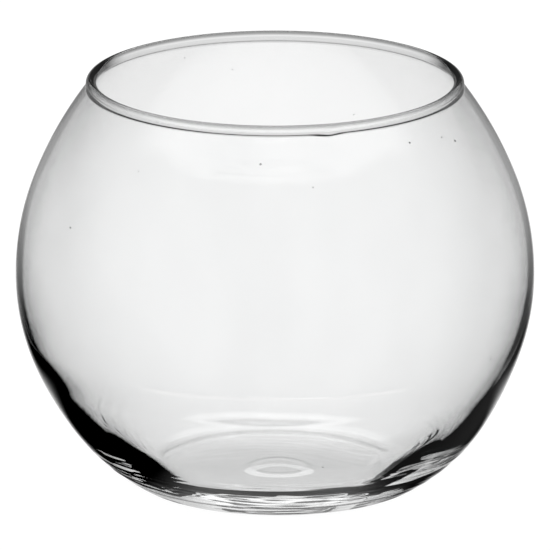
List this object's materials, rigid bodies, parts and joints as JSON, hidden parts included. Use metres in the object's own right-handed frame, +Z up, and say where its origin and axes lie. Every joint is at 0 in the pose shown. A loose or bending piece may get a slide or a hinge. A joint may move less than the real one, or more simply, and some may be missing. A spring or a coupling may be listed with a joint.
{
  "type": "rose bowl vase",
  "caption": "Round clear glass vase with a wide open mouth, a thin rounded bead for a rim, full belly and shoulders, and a thick rounded heel over a shallow dished underside.",
  "frame": {"origin": "on the bowl's axis, in the plane that it stands on", "axes": "+Z up along the bowl's axis of turning, -Y towards the camera of the reference picture, +X to that camera's right"},
  "size_m": [0.15, 0.15, 0.12],
  "materials": {
    "clear_glass": "fire-polished clear soda-lime glass"
  },
  "bodies": {
    "root": {"glass_bowl": "clear_glass"}
  },
  "joints": []
}
